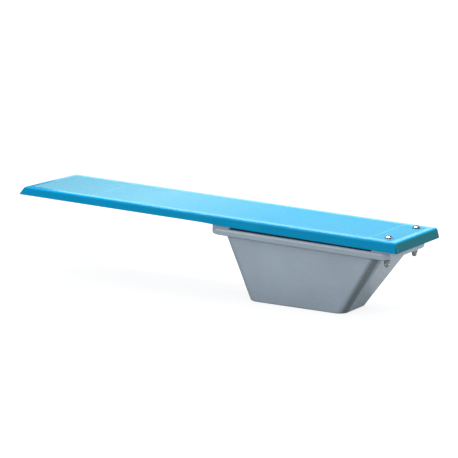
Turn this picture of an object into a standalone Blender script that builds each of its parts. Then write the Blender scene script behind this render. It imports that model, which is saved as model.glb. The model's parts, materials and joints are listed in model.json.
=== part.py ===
"""Residential diving board: a moulded board bolted at its rear to a tub-shaped glass-fibre stand.

Metres. +X runs towards the board's tip, +Y to the diver's left and +Z up. The origin is the
centre of the stand's flat underside, which is bolted down to the pool deck.

The board, its fulcrum, the stand's rim and the bolts share a second frame, the board frame:
its origin is the middle of the board's top surface, and it is tipped so that the tip is high.
The board is cut across at the fulcrum's front edge, where its free end bends.
"""

from math import atan, cos, pi, radians, sin

import bmesh
import bpy
from mathutils import Matrix, Vector

# The board, measured over its flared lower edge.
BOARD_LENGTH = 1.837
BOARD_WIDTH = 0.457
SIDE_FLARE = 0.005
TIP_FLARE = 0.022
REAR_FLARE = 0.010
TIP_THICKNESS = 0.0365
FULCRUM_THICKNESS = 0.0407
REAR_THICKNESS = 0.044
TAPER_START_X = 0.0
SHOULDER = 0.008
LOWER_CORNER = 0.004
UPPER_CORNER = 0.010
SHELL_SKIN = 0.004
UNDERSKIN = 0.003
UNDERSKIN_EDGE_GAP = 0.002
BOARD_TOP_HEIGHT = 0.3748
BOARD_CENTRE_X = 0.4133
BOARD_TILT = radians(1.20)

# The bend: the hinge line lies along the board's underside, at the fulcrum's front edge.
HINGE_X = -0.034
SPLIT_GAP = 0.0016

# Timber core.
STRINGERS = 4
STRINGER_WIDTH = 0.0992
STRINGER_PITCH = 0.0996
STRINGER_FRONT = 0.878
STRINGER_REAR = -0.890

# Non-slip tread panels, let into the top.
TREAD_HALF_WIDTH = 0.186
TREAD_DEPTH = 0.0012
TREAD_CORNER = 0.006
TREAD_TIP_END = 0.872
TREAD_TIP_LINE = 0.563
TREAD_REAR_LINE = -0.773
TREAD_REAR_END = -0.878
TREAD_LAND = 0.005
POCKET_OVERRUN = 0.02

# The stand.
BASE_HALF_LENGTH = 0.2271
BASE_HALF_WIDTH = 0.1215
BASE_CORNER = 0.042
BASE_EDGE = 0.007
WALL_SKIN = 0.0055
WALL_TOP_REAR = -0.8240
WALL_TOP_FRONT = -0.0787
WALL_TOP_HALF_WIDTH = 0.173
WALL_TOP_CORNER = 0.050
WALL_FILLET = 0.010
RIM_REAR = -0.873
RIM_FRONT = -0.0315
RIM_HALF_WIDTH = 0.2015
RIM_CORNER = 0.034
RIM_DROP = 0.0555
LIP_HEIGHT = 0.031
LIP_EDGE = 0.014
RIM_DECK = 0.0035
RIM_DECK_EDGE = 0.0028
OPENING_REAR = -0.785
OPENING_FRONT = -0.129
OPENING_HALF_WIDTH = 0.150
OPENING_CORNER = 0.030
CORE_EDGE = 0.013
CORE_CUT = 0.0006

# Fulcrum and rear seat.
FRONT_SEAT_REAR = -0.1255
REAR_SEAT_FRONT = -0.790
SEAT_PAD = 0.003
SEAT_EDGE = 0.002
PAD_INSET = 0.0035

# Inside the tub.
BASE_PLATE_INSET = 0.017
BASE_PLATE_THICKNESS = 0.012
BASE_PLATE_CORNER = 0.030
ANCHOR_X = 0.165
ANCHOR_Y = 0.070
ANCHOR_HOLE = 0.007
RIB_X = 0.100
RIB_WIDTH = 0.022
RIB_DEPTH = 0.024
RIB_BED = 0.0012
RIB_FOOT = 0.022
RIB_HEAD_GAP = 0.010

# Half-inch bolts, with the parts that they clamp.
BOLT_X = -0.8410
BOLT_Y = 0.146
SHANK_RADIUS = 0.00635
CLEARANCE_RADIUS = 0.0069
SLEEVE_RADIUS = 0.010
HEAD_RADIUS = 0.0135
HEAD_HEIGHT = 0.0058
CUP_RADIUS = 0.0160
CUP_HEIGHT = 0.0034
RUBBER_RADIUS = 0.0172
RUBBER_HEIGHT = 0.0022
WASHER_RADIUS = 0.0136
WASHER_HEIGHT = 0.0024
CUSHION_HEIGHT = 0.0075
SPOT_FACE_RADIUS = 0.0145
SPOT_FACE_STEP = 0.00002
BOLT_HOLE_LOW = -0.13
BOLT_HOLE_HIGH = 0.03
NUT_FLATS = 0.0222
NUT_HEX_HEIGHT = 0.0110
NUT_DOME_HEIGHT = 0.0150
NUT_WALL = 0.0045

GAP = 0.0003
SQUARE = 0.0005
CORNER_STEPS = 5
ROUND_STEPS = 28

PARTS = "diving_board"
CUTTERS = "cutters"
BOARD_REAR = -BOARD_LENGTH / 2
LEDGE_DROP = RIM_DROP + LIP_HEIGHT
DECK_UNDERSIDE = RIM_DROP + RIM_DECK
BOLT_PLACES = [(BOLT_X, BOLT_Y), (BOLT_X, -BOLT_Y)]
BOARD_PLACE = Matrix.Translation((BOARD_CENTRE_X, 0, BOARD_TOP_HEIGHT))
BOARD_FRAME = BOARD_PLACE @ Matrix.Rotation(-BOARD_TILT, 4, "Y")

FINISHES = {
    "blue_gelcoat": ((0.10, 0.50, 0.78), 0.28, 0.0),
    "blue_tread": ((0.14, 0.56, 0.84), 0.70, 0.0),
    "blue_laminate": ((0.03, 0.24, 0.38), 0.50, 0.0),
    "grey_gelcoat": ((0.46, 0.52, 0.58), 0.35, 0.0),
    "glass_laminate": ((0.62, 0.64, 0.56), 0.60, 0.0),
    "timber": ((0.62, 0.42, 0.22), 0.65, 0.0),
    "rubber": ((0.20, 0.21, 0.22), 0.80, 0.0),
    "chrome": ((0.80, 0.82, 0.84), 0.12, 1.0),
    "zinc_steel": ((0.60, 0.62, 0.64), 0.35, 1.0),
}


# ---------------------------------------------------------------- scene and materials


def clear_scene():
    for obj in list(bpy.data.objects):
        bpy.data.objects.remove(obj, do_unlink=True)


def make_collection(name):
    collection = bpy.data.collections.new(name)
    bpy.context.scene.collection.children.link(collection)
    return collection


def make_material(name):
    colour, roughness, metallic = FINISHES[name]
    material = bpy.data.materials.new(name)
    material.use_nodes = True
    shader = material.node_tree.nodes["Principled BSDF"]
    shader.inputs["Base Color"].default_value = (*colour, 1.0)
    shader.inputs["Roughness"].default_value = roughness
    shader.inputs["Metallic"].default_value = metallic
    return material


def add_empty(name, parent=None, matrix=None):
    empty = bpy.data.objects.new(name, None)
    empty.parent = parent
    empty.matrix_local = matrix or Matrix.Identity(4)
    bpy.data.collections[PARTS].objects.link(empty)
    return empty


def add_part(name, bm, finish, parent=None, location=(0, 0, 0)):
    """Makes the bmesh a named part with its own material, shaded smooth except at sharp edges."""
    bm.normal_update()
    mesh = bpy.data.meshes.new(name)
    bm.to_mesh(mesh)
    bm.free()
    mesh.materials.append(bpy.data.materials[finish])
    mesh.shade_smooth()
    mesh.set_sharp_from_angle(angle=radians(35))
    part = bpy.data.objects.new(name, mesh)
    part.parent = parent
    part.location = location
    bpy.data.collections[PARTS].objects.link(part)
    return part


def add_cutter(name, bm, parent=None, location=(0, 0, 0)):
    """A shape that is only cut from, or joined to, other parts."""
    mesh = bpy.data.meshes.new(name)
    bm.to_mesh(mesh)
    bm.free()
    cutter = bpy.data.objects.new(name, mesh)
    cutter.parent = parent
    cutter.location = location
    cutter.display_type = "WIRE"
    cutter.hide_render = True
    bpy.data.collections[CUTTERS].objects.link(cutter)
    return cutter


def boolean(part, cutter, operation="DIFFERENCE"):
    modifier = part.modifiers.new(f"{operation.lower()} {cutter.name}", "BOOLEAN")
    modifier.operation = operation
    modifier.object = cutter
    modifier.solver = "EXACT"


def solidify(part, thickness):
    """Thickens an open surface on the side away from its normals."""
    modifier = part.modifiers.new("thickness", "SOLIDIFY")
    modifier.thickness = thickness
    modifier.offset = -1.0
    modifier.use_even_offset = True


# ---------------------------------------------------------------- shapes


def outline(rear, front, half_width, rear_corner, front_corner=None):
    """The points of a rounded rectangle in plan, anticlockwise, starting at its front left."""
    front_corner = rear_corner if front_corner is None else front_corner
    corners = (
        (front - front_corner, half_width - front_corner, front_corner, 0.0),
        (rear + rear_corner, half_width - rear_corner, rear_corner, pi / 2),
        (rear + rear_corner, rear_corner - half_width, rear_corner, pi),
        (front - front_corner, front_corner - half_width, front_corner, 1.5 * pi),
    )
    turns = [pi / 2 * step / CORNER_STEPS for step in range(CORNER_STEPS + 1)]
    return [
        (x + radius * cos(start + turn), y + radius * sin(start + turn))
        for x, y, radius, start in corners
        for turn in turns
    ]


def at_height(points, height):
    """Lifts plan points to one height."""
    return [Vector((x, y, height)) for x, y in points]


def loft(rings, floor=False, roof=False, closed=False):
    """Faces between matching rings that run anticlockwise. Rising rings give faces that look outwards."""
    bm = bmesh.new()
    loops = [[bm.verts.new(point) for point in ring] for ring in rings]
    pairs = list(zip(loops, loops[1:]))
    if closed:
        pairs.append((loops[-1], loops[0]))
    count = len(loops[0])
    for low, high in pairs:
        for i in range(count):
            j = (i + 1) % count
            bm.faces.new((low[i], low[j], high[j], high[i]))
    if floor:
        bm.faces.new(reversed(loops[0]))
    if roof:
        bm.faces.new(loops[-1])
    bm.verts.index_update()
    return bm


def ring_edges(bm, ring, count):
    """The edges along one ring of a loft, before anything has changed the loft."""
    bm.verts.ensure_lookup_table()
    verts = set(bm.verts[ring * count : (ring + 1) * count])
    return [edge for edge in bm.edges if edge.verts[0] in verts and edge.verts[1] in verts]


def round_edges(bm, edges, width, segments):
    bmesh.ops.bevel(bm, geom=edges, offset=width, segments=segments, profile=0.5, affect="EDGES")


def prism(points, low, high, top_edge=0.0):
    """A solid pulled up from a plan outline. Its top may follow a function of x, or be rounded over."""
    bm = bmesh.new()
    floor = bm.faces.new([bm.verts.new((x, y, low)) for x, y in points])
    raised = bmesh.ops.extrude_face_region(bm, geom=[floor])["geom"]
    for vert in raised:
        if isinstance(vert, bmesh.types.BMVert):
            vert.co.z = high(vert.co.x) if callable(high) else high
    bmesh.ops.recalc_face_normals(bm, faces=bm.faces)
    if top_edge:
        top = [item for item in raised if isinstance(item, bmesh.types.BMEdge)]
        round_edges(bm, top, top_edge, 2)
    return bm


def box(low, high):
    bm = bmesh.new()
    bmesh.ops.create_cube(bm, size=1.0)
    size = Vector(high) - Vector(low)
    middle = (Vector(high) + Vector(low)) / 2
    bmesh.ops.transform(bm, verts=bm.verts, matrix=Matrix.Translation(middle) @ Matrix.Diagonal((*size, 1)))
    return bm


def cylinders(places, radius, low, high):
    """One mesh that holds an upright cylinder at each place."""
    bm = bmesh.new()
    for x, y in places:
        bmesh.ops.create_cone(
            bm,
            cap_ends=True,
            segments=ROUND_STEPS,
            radius1=radius,
            radius2=radius,
            depth=high - low,
            matrix=Matrix.Translation((x, y, (low + high) / 2)),
        )
    return bm


def profile_mesh(profile, closed):
    """A section drawn at +X as edges only, from (radius, height) points that run down its outer side."""
    bm = bmesh.new()
    points = [bm.verts.new((radius, 0.0, height)) for radius, height in profile]
    for upper, lower in zip(points, points[1:]):
        bm.edges.new((upper, lower))
    if closed:
        bm.edges.new((points[-1], points[0]))
    return bm


def turn(part):
    """Turns a profile about its own Z axis."""
    modifier = part.modifiers.new("turn", "SCREW")
    modifier.steps = ROUND_STEPS
    modifier.render_steps = ROUND_STEPS
    modifier.use_merge_vertices = True
    modifier.merge_threshold = 0.00001
    return part


def dome(radius, height, steps):
    """Profile points from the pole of a spherical cap down to its rim."""
    sphere = (radius**2 + height**2) / (2 * height)
    reach = 2 * atan(height / radius)
    turns = [reach * step / steps for step in range(steps + 1)]
    return [(sphere * sin(turn), sphere * cos(turn) - sphere + height) for turn in turns]


# ---------------------------------------------------------------- board


def underside(x):
    """Height of the board's underside in the board frame: level under the tip, falling behind it."""
    if x >= TAPER_START_X:
        return -TIP_THICKNESS
    if x >= FRONT_SEAT_REAR:
        along = (TAPER_START_X - x) / (TAPER_START_X - FRONT_SEAT_REAR)
        return -TIP_THICKNESS - (FULCRUM_THICKNESS - TIP_THICKNESS) * along
    along = (FRONT_SEAT_REAR - x) / (FRONT_SEAT_REAR - BOARD_REAR)
    return -FULCRUM_THICKNESS - (REAR_THICKNESS - FULCRUM_THICKNESS) * along


def follow_underside(bm, layers):
    """Moves the points at each drawn height onto the underside, raised by that layer's offset."""
    for place in (TAPER_START_X, FRONT_SEAT_REAR):
        everything = bm.verts[:] + bm.edges[:] + bm.faces[:]
        bmesh.ops.bisect_plane(bm, geom=everything, plane_co=(place, 0, 0), plane_no=(1, 0, 0))
    for vert in bm.verts:
        for drawn, offset in layers:
            if abs(vert.co.z - drawn) < 0.0005:
                vert.co.z = underside(vert.co.x) + offset
                break


def cut_across(bm, place, direction):
    """Cuts a closed mesh at one place along the board, and closes the cut."""
    everything = bm.verts[:] + bm.edges[:] + bm.faces[:]
    plane = {"plane_co": (place, 0, 0), "plane_no": (direction, 0, 0)}
    cut = bmesh.ops.bisect_plane(bm, geom=everything, clear_outer=True, **plane)["geom_cut"]
    edges = [item for item in cut if isinstance(item, bmesh.types.BMEdge)]
    if edges:
        bmesh.ops.holes_fill(bm, edges=edges)


def tray_outline(skin, rise, corner):
    """The board's plan at one height: drawn in by a skin's thickness, and by the flare as it rises."""
    return outline(
        BOARD_REAR + skin + REAR_FLARE * rise,
        -BOARD_REAR - skin - TIP_FLARE * rise,
        BOARD_WIDTH / 2 - skin - SIDE_FLARE * rise,
        corner,
    )


def make_board_shell(name, parent, location, rear, front):
    """The coloured top skin: a tray upside down, with a rounded shoulder and flared sides."""
    ceiling = 1 - SHELL_SKIN / TIP_THICKNESS
    rings = [
        at_height(tray_outline(SHELL_SKIN, ceiling, UPPER_CORNER - SHELL_SKIN), -SHELL_SKIN),
        at_height(tray_outline(SHELL_SKIN, 0.0, LOWER_CORNER - SHELL_SKIN), -TIP_THICKNESS),
        at_height(tray_outline(0.0, 0.0, LOWER_CORNER), -TIP_THICKNESS),
        at_height(tray_outline(0.0, 1.0, UPPER_CORNER), 0.0),
    ]
    bm = loft(rings, floor=True, roof=True)
    count = len(rings[0])
    inner, outer = ring_edges(bm, 0, count), ring_edges(bm, 3, count)
    round_edges(bm, outer, SHOULDER, 4)
    round_edges(bm, [edge for edge in inner if edge.is_valid], SHOULDER - SHELL_SKIN, 3)
    cut_across(bm, rear, -1)
    cut_across(bm, front, 1)
    follow_underside(bm, [(-TIP_THICKNESS, 0.0)])
    return add_part(name, bm, "blue_gelcoat", parent, location)


def make_underskin(name, parent, location, rear, front):
    """The laminate that closes the underside, inside the lower edge of the shell."""
    inset = SHELL_SKIN + UNDERSKIN_EDGE_GAP
    half = BOARD_LENGTH / 2 - inset
    points = outline(
        max(rear, -half),
        min(front, half),
        BOARD_WIDTH / 2 - inset,
        LOWER_CORNER if rear < -half else SQUARE,
        LOWER_CORNER if front > half else SQUARE,
    )
    bm = prism(points, -2.0, -1.0)
    follow_underside(bm, [(-2.0, 0.0), (-1.0, UNDERSKIN)])
    return add_part(name, bm, "blue_laminate", parent, location)


def make_stringer(number, name, parent, location, rear, front):
    """One plank of the timber core."""
    middle = (number - (STRINGERS - 1) / 2) * STRINGER_PITCH
    low = (max(rear, STRINGER_REAR), middle - STRINGER_WIDTH / 2, -1.0)
    high = (min(front, STRINGER_FRONT), middle + STRINGER_WIDTH / 2, -SHELL_SKIN - GAP)
    bm = box(low, high)
    follow_underside(bm, [(-1.0, UNDERSKIN + GAP)])
    return add_part(name, bm, "timber", parent, location)


def make_tread(name, shell, parent, location, rear, front, open_rear=False, open_front=False):
    """A tread panel, with the shallow pocket that it lies in. An open end meets the bend."""
    rear_corner = SQUARE if open_rear else TREAD_CORNER
    front_corner = SQUARE if open_front else TREAD_CORNER
    pocket = outline(
        rear - (POCKET_OVERRUN if open_rear else 0),
        front + (POCKET_OVERRUN if open_front else 0),
        TREAD_HALF_WIDTH,
        rear_corner,
        front_corner,
    )
    bm = prism(pocket, -TREAD_DEPTH - GAP, 0.01)
    boolean(shell, add_cutter(f"pocket_{name}", bm, parent, location))
    panel = outline(
        rear + (0 if open_rear else GAP),
        front - (0 if open_front else GAP),
        TREAD_HALF_WIDTH - GAP,
        rear_corner,
        front_corner,
    )
    return add_part(name, prism(panel, -TREAD_DEPTH, 0.0), "blue_tread", parent, location)


def make_sleeves(board_frame, bolt_holes):
    """Steel sleeves that stop the bolts from crushing the timber."""
    for side, sign in (("left", 1), ("right", -1)):
        low = underside(BOLT_X) + UNDERSKIN + 2 * GAP
        bm = cylinders([(BOLT_X, sign * BOLT_Y)], SLEEVE_RADIUS, low, -SHELL_SKIN - GAP)
        sleeve = add_part(f"bolt_sleeve_{side}", bm, "zinc_steel", board_frame)
        boolean(sleeve, bolt_holes)


def make_board(board_frame, flex_axis, bolt_holes, sleeve_holes):
    half_gap = SPLIT_GAP / 2
    back_to_board = (-HINGE_X, 0, -underside(HINGE_X))
    halves = (
        ("rear", board_frame, (0, 0, 0), -1.0, HINGE_X - half_gap),
        ("front", flex_axis, back_to_board, HINGE_X + half_gap, 1.0),
    )
    shells = {}
    for half, parent, location, rear, front in halves:
        shells[half] = make_board_shell(f"board_shell_{half}", parent, location, rear, front)
        skin = make_underskin(f"board_underskin_{half}", parent, location, rear, front)
        if half == "rear":
            boolean(shells[half], bolt_holes)
            boolean(skin, bolt_holes)
        for number in range(STRINGERS):
            name = f"core_stringer_{number + 1}_{half}"
            stringer = make_stringer(number, name, parent, location, rear, front)
            if half == "rear" and number in (0, STRINGERS - 1):
                boolean(stringer, sleeve_holes)
    land = TREAD_LAND / 2
    ahead, behind = HINGE_X + half_gap, HINGE_X - half_gap
    origin = (0, 0, 0)
    main_end = TREAD_REAR_LINE + land
    on_front = (shells["front"], flex_axis, back_to_board)
    on_rear = (shells["rear"], board_frame, origin)
    make_tread("tread_tip", *on_front, TREAD_TIP_LINE + land, TREAD_TIP_END)
    make_tread("tread_main_front", *on_front, ahead, TREAD_TIP_LINE - land, open_rear=True)
    make_tread("tread_main_rear", *on_rear, main_end, behind, open_front=True)
    panel = make_tread("tread_bolt_panel", *on_rear, TREAD_REAR_END, TREAD_REAR_LINE - land)
    boolean(panel, bolt_holes)
    make_sleeves(board_frame, bolt_holes)


# ---------------------------------------------------------------- stand


def rim_outline(inset=0.0):
    return outline(
        RIM_REAR + inset, RIM_FRONT - inset, RIM_HALF_WIDTH - inset, RIM_CORNER - inset
    )


def opening_outline():
    return outline(OPENING_REAR, OPENING_FRONT, OPENING_HALF_WIDTH, OPENING_CORNER)


def make_stand_shell(board_frame, bolt_holes, floor_holes):
    """The moulded tub: a level floor, leaning walls, and a ledge with a turned-up lip."""
    base = at_height(outline(-BASE_HALF_LENGTH, BASE_HALF_LENGTH, BASE_HALF_WIDTH, BASE_CORNER), 0.0)
    wall_top = outline(WALL_TOP_REAR, WALL_TOP_FRONT, WALL_TOP_HALF_WIDTH, WALL_TOP_CORNER)
    sloping = [
        at_height(wall_top, -LEDGE_DROP),
        at_height(rim_outline(), -LEDGE_DROP),
        at_height(rim_outline(), -DECK_UNDERSIDE - GAP),
    ]
    rings = [base] + [[BOARD_FRAME @ point for point in ring] for ring in sloping]
    bm = loft(rings, floor=True)
    count = len(base)
    edges = {ring: ring_edges(bm, ring, count) for ring in range(3)}
    round_edges(bm, edges[0], BASE_EDGE, 4)
    round_edges(bm, [edge for edge in edges[1] if edge.is_valid], WALL_FILLET, 2)
    round_edges(bm, [edge for edge in edges[2] if edge.is_valid], LIP_EDGE, 4)
    shell = add_part("stand_shell", bm, "grey_gelcoat")
    solidify(shell, WALL_SKIN)
    boolean(shell, bolt_holes)
    boolean(shell, floor_holes)
    spots = cylinders(BOLT_PLACES, SPOT_FACE_RADIUS, BOLT_HOLE_LOW, -LEDGE_DROP - SPOT_FACE_STEP)
    boolean(shell, add_cutter("spot_faces", spots, board_frame))


def make_rim_deck(board_frame, bolt_holes):
    """The flat ring that closes the top of the rim."""
    outer = rim_outline()
    inner = opening_outline()
    rings = [
        at_height(outer, -DECK_UNDERSIDE),
        at_height(outer, -RIM_DROP),
        at_height(inner, -RIM_DROP),
        at_height(inner, -DECK_UNDERSIDE),
    ]
    bm = loft(rings, closed=True)
    round_edges(bm, ring_edges(bm, 1, len(outer)), RIM_DECK_EDGE, 3)
    deck = add_part("stand_rim_deck", bm, "grey_gelcoat", board_frame)
    boolean(deck, bolt_holes)


def core_ring():
    """The whole timber frame inside the rim, before it is cut into four lengths."""
    low = -LEDGE_DROP + WALL_SKIN + GAP
    high = -DECK_UNDERSIDE - GAP
    outer = rim_outline(WALL_SKIN + GAP)
    inner = opening_outline()
    rings = [
        at_height(outer, low),
        at_height(outer, high),
        at_height(inner, high),
        at_height(inner, low),
    ]
    bm = loft(rings, closed=True)
    round_edges(bm, ring_edges(bm, 0, len(outer)), CORE_EDGE, 3)
    return bm


def make_rim_cores(board_frame, bolt_holes):
    side = OPENING_HALF_WIDTH
    cut = CORE_CUT / 2
    spans = {
        "front": (OPENING_FRONT - OPENING_CORNER + cut, -1.0, 0.0, 1.0),
        "rear": (-1.0, -1.0, OPENING_REAR + OPENING_CORNER - cut, 1.0),
        "left": (OPENING_REAR + OPENING_CORNER + cut, 0.0, OPENING_FRONT - OPENING_CORNER - cut, 1.0),
        "right": (OPENING_REAR + OPENING_CORNER + cut, -1.0, OPENING_FRONT - OPENING_CORNER - cut, 0.0),
    }
    for name, (rear, right, front, left) in spans.items():
        core = add_part(f"rim_core_{name}", core_ring(), "timber", board_frame)
        cutter = add_cutter(f"keep_{name}", box((rear, right, -0.2), (front, left, 0.0)), board_frame)
        boolean(core, cutter, "INTERSECT")
        if name == "rear":
            boolean(core, bolt_holes)


def make_seats(board_frame, bolt_holes):
    """The raised seats at the rim's two ends, each with a thin rubber pad under the board."""
    front_top = -FULCRUM_THICKNESS - SEAT_PAD - 2 * GAP
    rear_top = -REAR_THICKNESS - SEAT_PAD - 2 * GAP
    riser = outline(FRONT_SEAT_REAR, RIM_FRONT, RIM_HALF_WIDTH, SQUARE, RIM_CORNER)
    add_part("fulcrum_riser", prism(riser, -RIM_DROP + GAP, front_top, SEAT_EDGE), "grey_gelcoat", board_frame)
    pad = outline(FRONT_SEAT_REAR + PAD_INSET, HINGE_X, RIM_HALF_WIDTH - PAD_INSET, SQUARE, RIM_CORNER)
    add_part("fulcrum_pad", prism(pad, front_top + GAP, lambda x: underside(x) - GAP), "rubber", board_frame)
    riser = outline(RIM_REAR, REAR_SEAT_FRONT, RIM_HALF_WIDTH, RIM_CORNER, SQUARE)
    rear_riser = add_part(
        "rear_riser", prism(riser, -RIM_DROP + GAP, rear_top, SEAT_EDGE), "grey_gelcoat", board_frame
    )
    pad = outline(
        RIM_REAR + PAD_INSET, REAR_SEAT_FRONT - PAD_INSET, RIM_HALF_WIDTH - PAD_INSET, RIM_CORNER, SQUARE
    )
    rear_pad = add_part(
        "rear_pad", prism(pad, rear_top + GAP, lambda x: underside(x) - GAP), "rubber", board_frame
    )
    boolean(rear_riser, bolt_holes)
    boolean(rear_pad, bolt_holes)


def make_base_plate(floor_holes):
    length = BASE_HALF_LENGTH - BASE_PLATE_INSET
    points = outline(-length, length, BASE_HALF_WIDTH - BASE_PLATE_INSET, BASE_PLATE_CORNER)
    low = WALL_SKIN + GAP
    plate = add_part("base_plate", prism(points, low, low + BASE_PLATE_THICKNESS), "timber")
    boolean(plate, floor_holes)


def make_wall_ribs():
    """Box ribs bonded up the inside of the long walls, between the floor and the rim."""
    for end, x in (("front", RIB_X), ("rear", -RIB_X)):
        ledge = (BOARD_FRAME @ Vector((x - BOARD_CENTRE_X, 0, -LEDGE_DROP))).z
        lean = (WALL_TOP_HALF_WIDTH - BASE_HALF_WIDTH) / ledge
        heights = (RIB_FOOT, ledge - RIB_HEAD_GAP)
        for side, sign in (("left", 1), ("right", -1)):
            rings = []
            for height in heights:
                outer = BASE_HALF_WIDTH + lean * height - WALL_SKIN - RIB_BED
                corners = [(x - RIB_WIDTH / 2, outer), (x - RIB_WIDTH / 2, outer - RIB_DEPTH)]
                corners += [(x + RIB_WIDTH / 2, outer - RIB_DEPTH), (x + RIB_WIDTH / 2, outer)]
                ring = [Vector((px, sign * py, height)) for px, py in corners]
                rings.append(ring if sign > 0 else ring[::-1])
            bm = loft(rings, floor=True, roof=True)
            add_part(f"wall_rib_{side}_{end}", bm, "glass_laminate")


def make_stand(board_frame, bolt_holes):
    anchors = [(x * ANCHOR_X, y * ANCHOR_Y) for x in (-1, 1) for y in (-1, 1)]
    bm = cylinders(anchors, ANCHOR_HOLE, -0.01, 0.03)
    floor_holes = add_cutter("anchor_holes", bm)
    make_stand_shell(board_frame, bolt_holes, floor_holes)
    make_rim_deck(board_frame, bolt_holes)
    make_rim_cores(board_frame, bolt_holes)
    make_seats(board_frame, bolt_holes)
    make_base_plate(floor_holes)
    make_wall_ribs()


# ---------------------------------------------------------------- fasteners


def bolt_profile(length):
    head = dome(HEAD_RADIUS, HEAD_HEIGHT, 5)
    chamfer = 0.001
    return head + [
        (SHANK_RADIUS, 0.0),
        (SHANK_RADIUS, chamfer - length),
        (SHANK_RADIUS - chamfer, -length),
        (0.0, -length),
    ]


def ring_profile(inner, outer, height, edge):
    """A washer's section, with its upper outer edge cut back."""
    return [(inner, height), (outer - edge, height), (outer, height - edge), (outer, 0.0), (inner, 0.0)]


def cup_profile():
    """A dished washer: a low cone with a rounded rim."""
    rim = 0.0011
    return [
        (CLEARANCE_RADIUS, CUP_HEIGHT),
        (HEAD_RADIUS, CUP_HEIGHT),
        (CUP_RADIUS - rim, rim * 1.6),
        (CUP_RADIUS, rim * 0.8),
        (CUP_RADIUS, 0.0),
        (CLEARANCE_RADIUS, 0.0),
    ]


def make_acorn_nut(name, board_frame, place, top, bolt_end):
    """A hexagon with a dome below it, and a blind hole for the bolt."""
    corner = NUT_FLATS / 2 / cos(pi / 6)
    bm = bmesh.new()
    bmesh.ops.create_cone(
        bm,
        cap_ends=True,
        segments=6,
        radius1=corner,
        radius2=corner,
        depth=NUT_HEX_HEIGHT,
        matrix=Matrix.Translation((0, 0, -NUT_HEX_HEIGHT / 2)),
    )
    x, y = place
    nut = add_part(name, bm, "chrome", board_frame, (x, y, top))
    cap = dome(NUT_FLATS / 2 - 0.0006, NUT_DOME_HEIGHT, 6)
    inside = 0.001
    profile = [(0.0, inside), (cap[-1][0], inside)]
    lower = [(radius, -height) for radius, height in reversed(cap)]
    bm = profile_mesh(profile + lower, False)
    cap_end = turn(add_cutter(f"dome_{name}", bm, board_frame, (x, y, top - NUT_HEX_HEIGHT)))
    boolean(nut, cap_end, "UNION")
    hole = cylinders([(x, y)], SHANK_RADIUS + GAP, bolt_end - 2 * GAP, top + 0.005)
    boolean(nut, add_cutter(f"thread_{name}", hole, board_frame))


def make_fasteners(board_frame):
    ledge = -LEDGE_DROP
    for side, sign in (("left", 1), ("right", -1)):
        place = (BOLT_X, sign * BOLT_Y)
        rubber_seat = GAP
        cup_seat = rubber_seat + RUBBER_HEIGHT + GAP
        head_seat = cup_seat + CUP_HEIGHT + GAP
        cushion_seat = ledge - GAP - CUSHION_HEIGHT
        washer_seat = cushion_seat - GAP - WASHER_HEIGHT
        nut_top = washer_seat - GAP
        bolt_end = nut_top - NUT_HEX_HEIGHT - NUT_DOME_HEIGHT + NUT_WALL
        rubber = ring_profile(CLEARANCE_RADIUS, RUBBER_RADIUS, RUBBER_HEIGHT, 0.0006)
        cushion = ring_profile(CLEARANCE_RADIUS, WASHER_RADIUS, CUSHION_HEIGHT, 0.0008)
        washer = ring_profile(CLEARANCE_RADIUS, WASHER_RADIUS, WASHER_HEIGHT, 0.0004)
        pieces = (
            ("rubber_washer", rubber, True, "rubber", rubber_seat),
            ("cup_washer", cup_profile(), True, "chrome", cup_seat),
            ("bolt", bolt_profile(head_seat - bolt_end), False, "chrome", head_seat),
            ("lower_cushion", cushion, True, "rubber", cushion_seat),
            ("lower_washer", washer, True, "chrome", washer_seat),
        )
        for name, profile, closed, finish, seat in pieces:
            section = profile_mesh(profile, closed)
            turn(add_part(f"{name}_{side}", section, finish, board_frame, (*place, seat)))
        make_acorn_nut(f"acorn_nut_{side}", board_frame, place, nut_top, bolt_end)


def main():
    clear_scene()
    make_collection(PARTS)
    make_collection(CUTTERS)
    for name in FINISHES:
        make_material(name)
    board_frame = add_empty("board_frame", matrix=BOARD_FRAME)
    hinge = Matrix.Translation((HINGE_X, 0, underside(HINGE_X)))
    flex_axis = add_empty("flex_axis", board_frame, hinge)
    holes = cylinders(BOLT_PLACES, CLEARANCE_RADIUS, BOLT_HOLE_LOW, BOLT_HOLE_HIGH)
    bolt_holes = add_cutter("bolt_holes", holes, board_frame)
    holes = cylinders(BOLT_PLACES, SLEEVE_RADIUS + GAP, BOLT_HOLE_LOW, BOLT_HOLE_HIGH)
    sleeve_holes = add_cutter("sleeve_holes", holes, board_frame)
    make_board(board_frame, flex_axis, bolt_holes, sleeve_holes)
    make_stand(board_frame, bolt_holes)
    make_fasteners(board_frame)


main()
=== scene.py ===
"""The looks of a residential diving board: a blue moulded board on a grey tub-shaped stand.

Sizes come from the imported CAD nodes. The board, the rim, the seats and the bolts are drawn in the
board's own frame, which is measured from the tread: X runs to the tip, Y to the diver's left and
Z out of the top. BOARD carries a point of that frame into the row frame.
"""

import json
from math import atan, cos, pi, radians, sin

import bmesh
import bpy
import numpy as np
from mathutils import Matrix, Vector


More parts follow.
